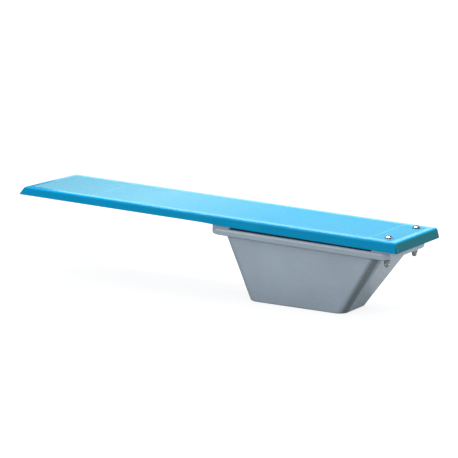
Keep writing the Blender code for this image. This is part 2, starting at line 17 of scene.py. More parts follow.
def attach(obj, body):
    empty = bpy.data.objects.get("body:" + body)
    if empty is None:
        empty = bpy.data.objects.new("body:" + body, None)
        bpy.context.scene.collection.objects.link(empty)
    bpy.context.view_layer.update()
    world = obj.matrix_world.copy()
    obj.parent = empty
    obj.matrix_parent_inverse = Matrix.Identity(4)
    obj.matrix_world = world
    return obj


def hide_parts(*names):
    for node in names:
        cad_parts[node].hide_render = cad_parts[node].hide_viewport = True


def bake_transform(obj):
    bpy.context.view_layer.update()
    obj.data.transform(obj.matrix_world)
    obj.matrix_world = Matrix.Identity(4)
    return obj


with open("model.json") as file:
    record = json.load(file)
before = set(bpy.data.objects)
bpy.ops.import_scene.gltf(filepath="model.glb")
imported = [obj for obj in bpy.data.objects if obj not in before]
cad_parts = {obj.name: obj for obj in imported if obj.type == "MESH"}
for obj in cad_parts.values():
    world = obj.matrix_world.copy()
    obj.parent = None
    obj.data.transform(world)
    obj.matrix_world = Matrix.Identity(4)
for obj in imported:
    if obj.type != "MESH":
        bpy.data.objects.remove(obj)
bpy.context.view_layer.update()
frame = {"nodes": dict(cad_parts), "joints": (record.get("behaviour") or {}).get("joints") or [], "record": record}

# The board's section.
SIDE_FLARE = 0.005
TIP_FLARE = 0.022
REAR_FLARE = 0.010
SKIN = 0.004
SHOULDER = 0.0085
DRIP_EDGE = 0.0022
LOWER_CORNER = 0.0045
UPPER_CORNER = 0.010
POCKET_DEPTH = 0.0016
POCKET_CORNER = 0.007
PANEL_CLEARANCE = 0.0005
PANEL_EDGE = 0.0007
PANEL_SINK = 0.0001

# The stand's section. Each length is how far a rounding reaches along the faces it joins.
WALL_SKIN = 0.0055
BASE_CORNER = 0.042
WALL_TOP_CORNER = 0.050
RIM_CORNER = 0.034
BASE_EDGE = 0.008
COVE = 0.012
LIP_EDGE = 0.014
DECK_EDGE = 0.003
SEAT_EDGE = 0.0022
OPENING_CORNER = 0.030
WALL_TOP_REAR = -0.8240
WALL_TOP_FRONT = -0.0787
WALL_TOP_HALF_WIDTH = 0.173
BASE_HALF_LENGTH = 0.2271
BASE_HALF_WIDTH = 0.1215
ANCHOR_X = 0.165
ANCHOR_Y = 0.070
ANCHOR_HOLE = 0.007

# The fasteners, as radii and heights, and the gap that touching pieces keep.
TOUCH_GAP = 0.0003
BOLT_CLEARANCE = 0.0069
BOLT_SHANK = 0.00635
BOLT_LAND = 0.0012
WASHER_SEAT = 0.0137
NUT_HEXAGON = 0.0110
NUT_BORE = 0.00665
NUT_CHAMFER = 0.0016

# How far the bolts' drill reaches, in the board's frame: down past the board or past the rim, and up.
PAST_BOARD = -0.10
PAST_RIM = -0.13
DRILL_TOP = 0.03

# Where the board's rear end starts, behind which it gets painted shade, the line that the tub's rear
# corner follows, down which it gets painted shade, and the level that the nuts hang below, under
# which the plated parts get painted shade, all in the row frame.
REAR_END = -0.4938
CORNER_FOOT = (-0.2235, 0.1000, 0.0)
CORNER_HEAD = (-0.3840, 0.1655, 0.2650)
UNDERSIDE_LEVEL = 0.275

# How the board bends: from just behind the hinge line to a little ahead of it. A longer bend would
# swing past the free end's own angle and come back.
BEND_BEHIND = 0.05
BEND_AHEAD = 0.12
BEND_SLICE = 0.01

CORNER_STEPS = 12
ROUND_STEPS = 64
HOLE_STEPS = 48
MERGE = 0.00001


# ---------------------------------------------------------------- measuring the CAD nodes


def vertices_of(*names):
    return np.array([vert.co for name in names for vert in frame["nodes"][name].data.vertices])


def board_matrix():
    """The board's frame: Z from the tread's largest face, origin over the middle of the shell."""
    faces = frame["nodes"]["tread_main_rear"].data.polygons
    top = max(faces, key=lambda face: face.area * max(face.normal.z, 0.0))
    up = top.normal.normalized()
    left = Vector((0, 1, 0))
    ahead = left.cross(up)
    turn = Matrix((ahead, left, up)).transposed()
    shell = vertices_of("board_shell_rear", "board_shell_front") @ np.array(turn)
    height = top.center.dot(up)
    middle = (shell[:, 0].min() + shell[:, 0].max()) / 2
    return Matrix.Translation(ahead * middle + up * height) @ turn.to_4x4()


BOARD = board_matrix()


def in_board(*names):
    """The nodes' vertices, in the board's frame."""
    into = np.array(BOARD.inverted())
    return vertices_of(*names) @ into[:3, :3].T + into[:3, 3]


def board_box(*names):
    points = in_board(*names)
    return Vector(points.min(axis=0)), Vector(points.max(axis=0))


def underside_stations():
    """Places along the board, over 4 mm apart, and the height of its underside at each."""
    points = in_board("board_underskin_rear", "board_underskin_front")
    places = []
    for place in sorted(points[:, 0]):
        if not places or place > places[-1] + 0.004:
            places.append(float(place))
    places[-1] = float(points[:, 0].max())
    heights = [points[abs(points[:, 0] - place) < 0.001, 2].min() for place in places]
    return places, heights


STATIONS = underside_stations()


def underside(x):
    return float(np.interp(x, *STATIONS))


# ---------------------------------------------------------------- shapes


def outline(rear, front, half_width, rear_corner, front_corner=None):
    """A rounded rectangle in plan, anticlockwise from its front left."""
    front_corner = rear_corner if front_corner is None else front_corner
    corners = (
        (front - front_corner, half_width - front_corner, front_corner, 0.0),
        (rear + rear_corner, half_width - rear_corner, rear_corner, pi / 2),
        (rear + rear_corner, rear_corner - half_width, rear_corner, pi),
        (front - front_corner, front_corner - half_width, front_corner, 1.5 * pi),
    )
    turns = [pi / 2 * step / CORNER_STEPS for step in range(CORNER_STEPS + 1)]
    return [
        (x + radius * cos(start + turn), y + radius * sin(start + turn))
        for x, y, radius, start in corners
        for turn in turns
    ]


def at_height(points, height):
    return [Vector((x, y, height)) for x, y in points]


def loft(rings, floor=False, roof=False, closed=False):
    """Faces between matching rings. Rising anticlockwise rings give faces that look outwards."""
    bm = bmesh.new()
    loops = [[bm.verts.new(point) for point in ring] for ring in rings]
    pairs = list(zip(loops, loops[1:]))
    if closed:
        pairs.append((loops[-1], loops[0]))
    count = len(loops[0])
    for low, high in pairs:
        for i in range(count):
            j = (i + 1) % count
            bm.faces.new((low[i], low[j], high[j], high[i]))
    if floor:
        bm.faces.new(reversed(loops[0]))
    if roof:
        bm.faces.new(loops[-1])
    bm.verts.index_update()
    return bm


def ring_edges(bm, ring, count):
    bm.verts.ensure_lookup_table()
    verts = set(bm.verts[ring * count : (ring + 1) * count])
    return [edge for edge in bm.edges if edge.verts[0] in verts and edge.verts[1] in verts]


def round_edges(bm, edges, width, segments):
    bmesh.ops.bevel(bm, geom=edges, offset=width, segments=segments, profile=0.5, affect="EDGES")


def prism(points, low, high, top_edge=0.0, segments=3):
    bm = loft([at_height(points, low), at_height(points, high)], floor=True, roof=True)
    if top_edge:
        round_edges(bm, ring_edges(bm, 1, len(points)), top_edge, segments)
    return bm


def eased(section, reaches, steps):
    """A polyline whose inner corners become curves that reach that far along both neighbours."""
    smooth = [section[0]]
    for before, corner, after, reach in zip(section, section[1:], section[2:], reaches):
        start = corner + (before - corner).normalized() * reach
        end = corner + (after - corner).normalized() * reach
        for step in range(steps + 1):
            t = step / steps
            smooth.append(start * (1 - t) ** 2 + corner * 2 * t * (1 - t) + end * t**2)
    smooth.append(section[-1])
    return smooth


def make_piece(name, bm, finish, matrix=None, smooth_angle=40):
    """Makes the bmesh an object in the row frame, and gives it its finish and material slot."""
    if matrix:
        bm.transform(matrix)
    bmesh.ops.recalc_face_normals(bm, faces=bm.faces)
    mesh = bpy.data.meshes.new(name)
    bm.to_mesh(mesh)
    bm.free()
    mesh.shade_smooth()
    mesh.set_sharp_from_angle(angle=radians(smooth_angle))
    piece = bpy.data.objects.new(name, mesh)
    bpy.context.scene.collection.objects.link(piece)
    mesh.materials.append(FINISHES[finish])
    return piece


def settle_normals(piece):
    """Flat faces keep their own shading beside narrow roundings."""
    modifier = piece.modifiers.new("normals", "WEIGHTED_NORMAL")
    modifier.keep_sharp = True
    modifier.weight = 80


def slice_at(bm, place, normal=(1, 0, 0)):
    """Adds edges all round the mesh where a plane crosses it."""
    everything = bm.verts[:] + bm.edges[:] + bm.faces[:]
    bmesh.ops.bisect_plane(bm, geom=everything, plane_co=place, plane_no=normal)


def cut(piece, bm, matrix=None, operation="DIFFERENCE"):
    """Cuts one mesh from a piece, or joins it on, for good."""
    if matrix:
        bm.transform(matrix)
    bmesh.ops.recalc_face_normals(bm, faces=bm.faces)
    mesh = bpy.data.meshes.new("cutter")
    bm.to_mesh(mesh)
    bm.free()
    cutter = bpy.data.objects.new("cutter", mesh)
    bpy.context.scene.collection.objects.link(cutter)
    modifier = piece.modifiers.new("cut", "BOOLEAN")
    modifier.operation = operation
    modifier.solver = "EXACT"
    modifier.object = cutter
    apply_modifiers(piece)
    bpy.data.objects.remove(cutter)
    bpy.data.meshes.remove(mesh)


def apply_modifiers(piece):
    bpy.context.view_layer.update()
    evaluated = piece.evaluated_get(bpy.context.evaluated_depsgraph_get())
    mesh = bpy.data.meshes.new_from_object(evaluated)
    old = piece.data
    piece.modifiers.clear()
    piece.data = mesh
    bpy.data.meshes.remove(old)
    mesh.name = piece.name


def column(centre, radius, low, high, sides):
    """An upright cylinder, or a prism with a few sides."""
    bm = bmesh.new()
    place = Matrix.Translation((*centre, (low + high) / 2))
    bmesh.ops.create_cone(
        bm, cap_ends=True, segments=sides, radius1=radius, radius2=radius, depth=high - low, matrix=place
    )
    return bm


def drill(piece, box, depth, radius=BOLT_CLEARANCE):
    """Drills the piece for each bolt that passes through its box."""
    low, high = box
    for bolt in BOLTS:
        if low.x < bolt[0] < high.x and low.y < bolt[1] < high.y:
            cut(piece, column(bolt, radius, depth, DRILL_TOP, HOLE_STEPS), BOARD)


def spun(profile, place=None, closed=False):
    """A profile of (radius, height) points, running down its outer side, turned about Z."""
    bm = bmesh.new()
    points = [bm.verts.new((radius, 0.0, height)) for radius, height in profile]
    for upper, lower in zip(points, points[1:]):
        bm.edges.new((upper, lower))
    if closed:
        bm.edges.new((points[-1], points[0]))
    geom = bm.verts[:] + bm.edges[:]
    bmesh.ops.spin(bm, geom=geom, axis=(0, 0, 1), angle=2 * pi, steps=ROUND_STEPS, use_merge=True)
    bmesh.ops.remove_doubles(bm, verts=bm.verts, dist=MERGE)
    if place:
        bm.transform(Matrix.Translation(place))
    return bm


def turned(name, profile, finish, place, closed=False):
    bm = spun(profile, closed=closed)
    return make_piece(name, bm, finish, BOARD @ Matrix.Translation(place), 32)


def arc(centre, radius, start, end, steps):
    """Profile points round a centre, from one angle to another in degrees."""
    turns = [radians(start + (end - start) * step / steps) for step in range(steps + 1)]
    return [(centre[0] + radius * cos(turn), centre[1] + radius * sin(turn)) for turn in turns]


# ---------------------------------------------------------------- materials


class Nodes:
    """A material's node tree, written as short calls."""

    def __init__(self, name):
        self.material = bpy.data.materials.new(name)
        self.material.use_nodes = True
        self.tree = self.material.node_tree
        self.shader = self.tree.nodes["Principled BSDF"]
        self.place = self.add("ShaderNodeTexCoord").outputs["Object"]

    def add(self, kind, **settings):
        node = self.tree.nodes.new(kind)
        for key, value in settings.items():
            setattr(node, key, value)
        return node

    def link(self, output, socket):
        self.tree.links.new(output, socket)

    def stretched(self, scale):
        """The object's coordinates, drawn out along an axis."""
        node = self.add("ShaderNodeMapping")
        node.inputs["Scale"].default_value = scale
        self.link(self.place, node.inputs["Vector"])
        return node.outputs["Vector"]

    def along(self, axis):
        node = self.add("ShaderNodeSeparateXYZ")
        self.link(self.place, node.inputs["Vector"])
        return node.outputs[axis]

    def vector(self, operation, first, second=None, output="Vector"):
        """Vector maths. The second value may be an output or a plain vector."""
        node = self.add("ShaderNodeVectorMath", operation=operation)
        self.link(first, node.inputs[0])
        if isinstance(second, bpy.types.NodeSocket):
            self.link(second, node.inputs[1])
        elif second is not None:
            node.inputs[1].default_value = second
        return node.outputs[output]

    def distance_from_line(self, start, end):
        """How far each point is from a line, on whichever side of the middle plane it lies."""
        folded = self.add("ShaderNodeCombineXYZ")
        width = self.add("ShaderNodeMath", operation="ABSOLUTE")
        self.link(self.along("Y"), width.inputs[0])
        self.link(width.outputs["Value"], folded.inputs["Y"])
        self.link(self.along("X"), folded.inputs["X"])
        self.link(self.along("Z"), folded.inputs["Z"])
        direction = (Vector(end) - Vector(start)).normalized()
        offset = self.vector("SUBTRACT", folded.outputs["Vector"], start)
        reach = self.vector("PROJECT", offset, direction)
        return self.vector("LENGTH", self.vector("SUBTRACT", offset, reach), output="Value")

    def noise(self, scale, detail=3.0, roughness=0.5, where=None, distortion=0.0):
        node = self.add("ShaderNodeTexNoise")
        node.inputs["Scale"].default_value = scale
        node.inputs["Detail"].default_value = detail
        node.inputs["Roughness"].default_value = roughness
        node.inputs["Distortion"].default_value = distortion
        self.link(where or self.place, node.inputs["Vector"])
        return node.outputs["Fac"]

    def grains(self, scale):
        node = self.add("ShaderNodeTexVoronoi")
        node.inputs["Scale"].default_value = scale
        self.link(self.place, node.inputs["Vector"])
        return node.outputs["Distance"]

    def ranged(self, value, low, high, to_low, to_high):
        """The value's stretch from low to high, spread over another range."""
        node = self.add("ShaderNodeMapRange")
        for name, number in (("From Min", low), ("From Max", high), ("To Min", to_low), ("To Max", to_high)):
            node.inputs[name].default_value = number
        self.link(value, node.inputs["Value"])
        return node.outputs["Result"]

    def ramp(self, value, *stops):
        """Colours by value: each stop is a place and a colour."""
        ramp = self.add("ShaderNodeValToRGB")
        elements = ramp.color_ramp.elements
        while len(elements) < len(stops):
            elements.new(0.5)
        for element, (place, colour) in zip(elements, stops):
            element.position = place
            element.color = (*colour, 1.0)
        self.link(value, ramp.inputs["Fac"])
        return ramp.outputs["Color"]

    def mixed(self, amount, first, second, blend="MIX"):
        """Two colours mixed by an amount. Either may be an output or a plain colour."""
        node = self.add("ShaderNodeMix", data_type="RGBA", blend_type=blend)
        for source, socket in ((amount, node.inputs[0]), (first, node.inputs[6]), (second, node.inputs[7])):
            if isinstance(source, bpy.types.NodeSocket):
                self.link(source, socket)
            elif isinstance(source, tuple):
                socket.default_value = (*source, 1.0)
            else:
                socket.default_value = source
        return node.outputs[2]

    def bump(self, height, distance, strength=1.0, under=None):
        node = self.add("ShaderNodeBump")
        node.inputs["Distance"].default_value = distance
        node.inputs["Strength"].default_value = strength
        self.link(height, node.inputs["Height"])
        if under:
            self.link(under, node.inputs["Normal"])
        return node.outputs["Normal"]

    def finish(self, colour, roughness, normal, **constants):
        self.link(colour, self.shader.inputs["Base Color"])
        self.link(roughness, self.shader.inputs["Roughness"])
        self.link(normal, self.shader.inputs["Normal"])
        for name, value in constants.items():
            self.shader.inputs[name.replace("_", " ")].default_value = value
        return self.material


def shaded(colour, factor):
    return tuple(min(1.0, part * factor) for part in colour)


def gelcoat(name, colour, gloss, specular, buffed=None, painted_end_shade=None, painted_corner_shade=None):
    """Moulded gelcoat: cloudy colour, faint orange peel, fine rubs and chalky exposed edges.

    It may be buffed, as a sheen for what faces up, darkened by painted shade behind a place along X,
    and darkened by painted shade down a line and down the same line on the other side.
    """
    nodes = Nodes(name)
    cloud = nodes.noise(4.0, 4.0, 0.6)
    base = nodes.ramp(cloud, (0.30, shaded(colour, 0.93)), (0.70, shaded(colour, 1.06)))
    speck = nodes.noise(520.0, 2.0)
    base = nodes.mixed(nodes.ranged(speck, 0.62, 0.80, 0.0, 0.25), base, shaded(colour, 0.7))
    pale = tuple(0.75 * part + 0.25 for part in colour)
    edge = nodes.ranged(nodes.add("ShaderNodeNewGeometry").outputs["Pointiness"], 0.54, 0.62, 0.0, 0.35)
    base = nodes.mixed(edge, base, pale)
    # Painted shade: behind the given place along X, the board's rear end face turns a dark dull teal.
    if painted_end_shade:
        behind, end_shade_colour = painted_end_shade
        base = nodes.mixed(nodes.ranged(nodes.along("X"), behind, behind - 0.0012, 0.0, 0.92), base, end_shade_colour)
    # Painted shade: a dark band down the given line, and down its mirror on the other side.
    if painted_corner_shade:
        start, end, width, corner_shade_colour = painted_corner_shade
        away = nodes.distance_from_line(start, end)
        base = nodes.mixed(nodes.ranged(away, width, width * 0.35, 0.0, 0.62), base, corner_shade_colour)
    rubs = nodes.noise(30.0, 6.0, 0.7, nodes.stretched((1.0, 9.0, 9.0)))
    roughness = nodes.ranged(rubs, 0.35, 0.75, gloss, gloss + 0.12)
    waves = nodes.bump(nodes.noise(9.0, 1.0), 0.004, 0.04)
    peel = nodes.bump(nodes.noise(420.0, 2.0), 0.0004, 0.16, waves)
    if buffed:
        facing = nodes.add("ShaderNodeSeparateXYZ")
        nodes.link(nodes.add("ShaderNodeNewGeometry").outputs["Normal"], facing.inputs["Vector"])
        sheen = nodes.ranged(facing.outputs["Z"], 0.80, 0.98, specular, buffed)
        nodes.link(sheen, nodes.shader.inputs["Specular IOR Level"])
    return nodes.finish(base, roughness, peel, Specular_IOR_Level=specular)


def sanded(name, colour, fresh):
    """A top coat with sand cast over it: sharp grains, mottling, and fading where feet fall most."""
    nodes = Nodes(name)
    along = nodes.ranged(nodes.along("X"), -0.5, 1.33, 0.0, 1.0)
    fade = nodes.ramp(along, (0.0, fresh), (0.35, fresh), (0.68, colour), (1.0, shaded(colour, 0.86)))
    mottle = nodes.noise(46.0, 5.0, 0.65)
    shade = nodes.ramp(mottle, (0.32, (0.92, 0.92, 0.92)), (0.68, (1.0, 1.0, 1.0)))
    base = nodes.mixed(1.0, fade, shade, "MULTIPLY")
    patches = nodes.noise(3.2, 3.0, 0.55, nodes.stretched((0.6, 1.6, 1.0)))
    base = nodes.mixed(nodes.ranged(patches, 0.40, 0.72, 0.0, 0.22), base, shaded(colour, 0.84))
    grain = nodes.grains(900.0)
    base = nodes.mixed(nodes.ranged(grain, 0.0, 0.28, 0.45, 0.0), base, shaded(colour, 1.25))
    roughness = nodes.ranged(nodes.noise(140.0, 3.0), 0.3, 0.7, 0.50, 0.72)
    coarse = nodes.bump(nodes.noise(300.0, 4.0, 0.7), 0.0007, 0.45)
    sharp = nodes.bump(nodes.ranged(grain, 0.0, 0.6, 1.0, 0.0), 0.0004, 0.55, coarse)
    return nodes.finish(base, roughness, sharp, Specular_IOR_Level=0.45)


def laminate(name, colour, weave):
    """Hand-laid glass and resin: chopped strands that lie every way, and resin-rich hollows."""
    nodes = Nodes(name)
    along = nodes.noise(160.0, 3.0, 0.6, nodes.stretched((0.25, 1.6, 1.6)), 1.2)
    across = nodes.noise(160.0, 3.0, 0.6, nodes.stretched((1.6, 0.25, 1.6)), 1.2)
    strands = nodes.mixed(0.5, along, across)
    base = nodes.ramp(strands, (0.38, shaded(colour, 0.78)), (0.62, shaded(colour, 1.14)))
    resin = nodes.noise(14.0, 4.0)
    base = nodes.mixed(nodes.ranged(resin, 0.45, 0.75, 0.0, 0.45), base, shaded(colour, 0.82))
    roughness = nodes.ranged(resin, 0.35, 0.7, 0.34, 0.62)
    normal = nodes.bump(strands, weave, 0.6)
    return nodes.finish(base, roughness, normal)


def timber(name, colour):
    """Sawn softwood, with its grain along X and darker late-wood lines."""
    nodes = Nodes(name)
    where = nodes.stretched((0.9, 14.0, 14.0))
    rings = nodes.add("ShaderNodeTexWave", bands_direction="Y")
    rings.inputs["Scale"].default_value = 1.6
    rings.inputs["Distortion"].default_value = 6.0
    rings.inputs["Detail"].default_value = 3.0
    nodes.link(where, rings.inputs["Vector"])
    base = nodes.ramp(rings.outputs["Fac"], (0.15, shaded(colour, 0.66)), (0.75, shaded(colour, 1.12)))
    fibre = nodes.noise(90.0, 4.0, 0.7, nodes.stretched((0.5, 12.0, 12.0)))
    base = nodes.mixed(nodes.ranged(fibre, 0.5, 0.8, 0.0, 0.4), base, shaded(colour, 0.55))
    roughness = nodes.ranged(fibre, 0.3, 0.7, 0.52, 0.74)
    return nodes.finish(base, roughness, nodes.bump(fibre, 0.0006, 0.5))


def rubber(name, colour):
    nodes = Nodes(name)
    dust = nodes.noise(26.0, 5.0, 0.65)
    grey = tuple(0.6 * part + 0.10 for part in colour)
    base = nodes.mixed(nodes.ranged(dust, 0.45, 0.80, 0.0, 0.7), colour, grey)
    roughness = nodes.ranged(dust, 0.3, 0.7, 0.62, 0.85)
    return nodes.finish(base, roughness, nodes.bump(nodes.noise(700.0, 2.0), 0.0003, 0.5))


def plated(name, colour, gloss, pitting):
    """Plated steel: bright, with fine turning marks, smears and pits, and painted shade under the rim."""
    nodes = Nodes(name)
    smear = nodes.noise(120.0, 4.0, 0.6)
    base = nodes.ramp(smear, (0.35, shaded(colour, 0.86)), (0.70, shaded(colour, 1.05)))
    pits = nodes.noise(900.0, 3.0, 0.6)
    base = nodes.mixed(nodes.ranged(pits, 0.66, 0.78, 0.0, pitting), base, (0.20, 0.19, 0.17))
    # Painted shade: the plated parts turn dark below the level of the rim's underside.
    painted_underside_shade = nodes.ranged(nodes.along("Z"), UNDERSIDE_LEVEL, UNDERSIDE_LEVEL - 0.01, 0.0, 0.50)
    base = nodes.mixed(painted_underside_shade, base, (0.13, 0.15, 0.15))
    roughness = nodes.ranged(smear, 0.3, 0.75, gloss, gloss + 0.14)
    marks = nodes.noise(1500.0, 2.0, 0.5, nodes.stretched((1.0, 1.0, 0.2)))
    return nodes.finish(base, roughness, nodes.bump(marks, 0.0001, 0.12), Metallic=1.0)


FINISHES = {
    "board_gelcoat": gelcoat(
        "board_gelcoat",
        (0.001, 0.27, 0.52),
        0.12,
        0.12,
        buffed=0.50,
        # The board's rear end face gets painted shade.
        painted_end_shade=(REAR_END, (0.014, 0.135, 0.155)),
    ),
    "board_tread": sanded("board_tread", (0.105, 0.355, 0.49), (0.032, 0.30, 0.49)),
    "board_laminate": laminate("board_laminate", (0.005, 0.16, 0.30), 0.0006),
    "stand_gelcoat": gelcoat(
        "stand_gelcoat",
        (0.38, 0.465, 0.545),
        0.22,
        0.40,
        # A dark band of painted shade down the tub's rear corners.
        painted_corner_shade=(CORNER_FOOT, CORNER_HEAD, 0.026, (0.07, 0.10, 0.09)),
    ),
    "glass_laminate": laminate("glass_laminate", (0.50, 0.53, 0.44), 0.0012),
    "timber_core": timber("timber_core", (0.52, 0.32, 0.15)),
    "pad_rubber": rubber("pad_rubber", (0.025, 0.028, 0.032)),
    "chrome": plated("chrome", (0.74, 0.76, 0.78), 0.07, 0.5),
    "sleeve_steel": plated("sleeve_steel", (0.56, 0.58, 0.58), 0.28, 0.8),
}


def finish_cad_nodes():
    """Every CAD node takes the finish of its slot, in case it stays in view."""
    for entry in frame["record"]["subparts"]:
        materials = frame["nodes"][entry["node"]].data.materials
        materials.clear()
        materials.append(FINISHES[entry["material_slot"]])


# ---------------------------------------------------------------- board


def bend(piece):
    """Slices the piece across where the board bends, and bakes its place into its mesh."""
    bm = bmesh.new()
    bm.from_mesh(piece.data)
    normal = BOARD.to_3x3() @ Vector((1, 0, 0))
    x = HINGE_X - BEND_BEHIND
    while x <= HINGE_X + BEND_AHEAD:
        slice_at(bm, BOARD @ Vector((x, 0, 0)), normal)
        x += BEND_SLICE
    bm.to_mesh(piece.data)
    bm.free()
    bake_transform(piece)


def plan(inset, rise, corner):
    """The board's plan at one height, drawn in by the flare as it rises and by a further inset."""
    low, high = SHELL
    return outline(
        low.x + inset + REAR_FLARE * rise,
        high.x - inset - TIP_FLARE * rise,
        high.y - inset - SIDE_FLARE * rise,
        max(corner - inset, 0.0015),
    )


def side_section():
    """(inset, height as a share of the side, drop) for each ring, from the drip edge to the top."""
    turns = [radians(90 * step / 8) for step in range(9)]
    drip = [(DRIP_EDGE * (1 - sin(turn)), 0.0, DRIP_EDGE * (1 - cos(turn))) for turn in turns]
    shoulder = [(SHOULDER * (1 - cos(turn)), 1.0, -SHOULDER * (1 - sin(turn))) for turn in turns]
    return drip + shoulder


def make_shell():
    """The coloured skin: one moulding with a drip edge, flared sides and a rounded shoulder."""
    thin = TIP_THICKNESS
    rings = [at_height(plan(SKIN, 1 - SKIN / thin, UPPER_CORNER), -SKIN)]
    rings.append(at_height(plan(SKIN, 0.0, LOWER_CORNER), -thin))
    for inset, share, offset in side_section():
        rise = share + offset / thin
        corner = LOWER_CORNER + (UPPER_CORNER - LOWER_CORNER) * share
        rings.append(at_height(plan(inset, rise, corner), -thin * (1 - share) + offset))
    bm = loft(rings, floor=True, roof=True)
    for place in STATIONS[0]:
        if SHELL[0].x + 0.02 < place < SHELL[1].x - 0.02:
            slice_at(bm, (place, 0, 0))
    for vert in bm.verts:
        if vert.co.z < -SHOULDER - 0.0005:
            share = (vert.co.z + SHOULDER) / (SHOULDER - thin)
            vert.co.z = -SHOULDER + share * (underside(vert.co.x) + SHOULDER)
    shell = make_piece("board_shell", bm, "board_gelcoat", BOARD)
    for low, high in TREADS.values():
        cutter = prism(outline(low.x, high.x, high.y, POCKET_CORNER), -POCKET_DEPTH, 0.02)
        cut(shell, cutter, BOARD)
    drill(shell, SHELL, PAST_BOARD)
    return shell


def make_tread(name, low, high):
    gap = PANEL_CLEARANCE
    points = outline(low.x + gap, high.x - gap, high.y - gap, POCKET_CORNER - gap)
    bm = prism(points, -POCKET_DEPTH + 0.0001, -PANEL_SINK, PANEL_EDGE)
    tread = make_piece(name, bm, "board_tread", BOARD)
    drill(tread, (low, high), PAST_BOARD)
    return tread


def slice_along(bm):
    for place in STATIONS[0][1:-1]:
        slice_at(bm, (place, 0, 0))


def follow_board(bm, drawn, offset):
    """Drops the points at a drawn height onto the board's underside."""
    for vert in bm.verts:
        if abs(vert.co.z - drawn) < 0.0005:
            vert.co.z = underside(vert.co.x) + offset


def make_underskin():
    low, high = board_box("board_underskin_rear", "board_underskin_front")
    thickness = board_box("board_underskin_front")[1].z + TIP_THICKNESS
    bm = prism(outline(low.x, high.x, high.y, LOWER_CORNER), -2.0, -1.0)
    slice_along(bm)
    follow_board(bm, -2.0, 0.0)
    follow_board(bm, -1.0, thickness)
    skin = make_piece("board_underskin", bm, "board_laminate", BOARD)
    drill(skin, (low, high), PAST_BOARD)
    return skin, thickness


def make_planks(thickness):
    """The core's planks run unbroken through the bend."""
    sleeve = board_box("bolt_sleeve_left")
    bore = (sleeve[1].x - sleeve[0].x) / 2 + TOUCH_GAP
    planks = []
    for number in range(1, 5):
        names = (f"core_stringer_{number}_rear", f"core_stringer_{number}_front")
        low, high = board_box(*names)
        points = [(high.x, high.y), (low.x, high.y), (low.x, low.y), (high.x, low.y)]
        bm = prism(points, -1.0, high.z)
        slice_along(bm)
        follow_board(bm, -1.0, thickness + TOUCH_GAP)
        plank = make_piece(f"core_stringer_{number}", bm, "timber_core", BOARD)
        drill(plank, (low, high), PAST_BOARD, bore)
        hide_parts(*names)
        planks.append(plank)
    return planks


def make_board():
    shell = make_shell()
    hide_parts("board_shell_rear", "board_shell_front")
    skin, thickness = make_underskin()
    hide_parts("board_underskin_rear", "board_underskin_front")
    treads = [make_tread(name, *box) for name, box in TREADS.items()]
    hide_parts("tread_tip")
    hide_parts("tread_main_front", "tread_main_rear")
    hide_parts("tread_bolt_panel")
    for piece in (shell, skin, *treads, *make_planks(thickness)):
        bend(piece)
        settle_normals(piece)


# ---------------------------------------------------------------- stand


def make_tub():
    """The tub: floor, leaning walls, a coved ledge and a turned-up lip, as one skin."""
    base = outline(-BASE_HALF_LENGTH, BASE_HALF_LENGTH, BASE_HALF_WIDTH, BASE_CORNER)
    floor = [Vector((x * 0.7, y * 0.6, 0)) for x, y in base]
    wall = outline(WALL_TOP_REAR, WALL_TOP_FRONT, WALL_TOP_HALF_WIDTH, WALL_TOP_CORNER)
    low, high = RIM
    rim = outline(low.x, high.x, high.y, RIM_CORNER)
    lip_top = RIM[0].z - TOUCH_GAP
    sections = []
    for i, inner in enumerate(floor):
        points = [inner, Vector((*base[i], 0))]
        points += [BOARD @ Vector((*wall[i], LEDGE)), BOARD @ Vector((*rim[i], LEDGE))]
        points.append(BOARD @ Vector((*rim[i], lip_top)))
        sections.append(eased(points, (BASE_EDGE, COVE, LIP_EDGE), 8))
    bm = loft([list(ring) for ring in zip(*sections)], floor=True)
    tub = make_piece("stand_tub", bm, "stand_gelcoat")
    modifier = tub.modifiers.new("thickness", "SOLIDIFY")
    modifier.thickness = WALL_SKIN
    modifier.offset = -1.0
    modifier.use_even_offset = True
    tub.data.materials.append(FINISHES["glass_laminate"])
    modifier.material_offset = 1
    apply_modifiers(tub)
    drill(tub, RIM, PAST_RIM)
    for x in (-ANCHOR_X, ANCHOR_X):
        for y in (-ANCHOR_Y, ANCHOR_Y):
            cut(tub, column((x, y), ANCHOR_HOLE, -0.01, 0.05, HOLE_STEPS))
    settle_normals(tub)
    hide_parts("stand_shell")
    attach(tub, "stand")


def make_rim_deck():
    """The deck that closes the rim, with the mouth's opening measured from the CAD node."""
    low, high = RIM
    points = in_board("stand_rim_deck")
    ahead_of_bolts = abs(points[:, 0]) < 0.7
    inside_the_rim = abs(points[:, 1]) < 0.16
    inner_half = points[ahead_of_bolts & inside_the_rim, 1].max()
    outer = outline(low.x, high.x, high.y, RIM_CORNER)
    hole = outline(OPENING[0], OPENING[1], inner_half, OPENING_CORNER)
    rings = [at_height(outer, low.z), at_height(outer, high.z)]
    rings += [at_height(hole, high.z), at_height(hole, low.z)]
    bm = loft(rings, closed=True)
    edges = {ring: ring_edges(bm, ring, len(outer)) for ring in (1, 2)}
    round_edges(bm, edges[1], DECK_EDGE, 5)
    round_edges(bm, [edge for edge in edges[2] if edge.is_valid], 0.001, 2)
    deck = make_piece("stand_rim_deck_top", bm, "stand_gelcoat", BOARD)
    drill(deck, RIM, PAST_RIM)
    settle_normals(deck)
    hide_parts("stand_rim_deck")
    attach(deck, "stand")


def make_seat(name, node, rear_corner, front_corner, finish, edge):
    """A raised seat or its pad, with a softened top edge."""
    low, high = board_box(node)
    points = outline(low.x, high.x, high.y, rear_corner, front_corner)
    seat = make_piece(name, prism(points, low.z, high.z, edge, 4), finish, BOARD)
    drill(seat, (low, high), PAST_RIM)
    settle_normals(seat)
    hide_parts(node)
    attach(seat, "stand")


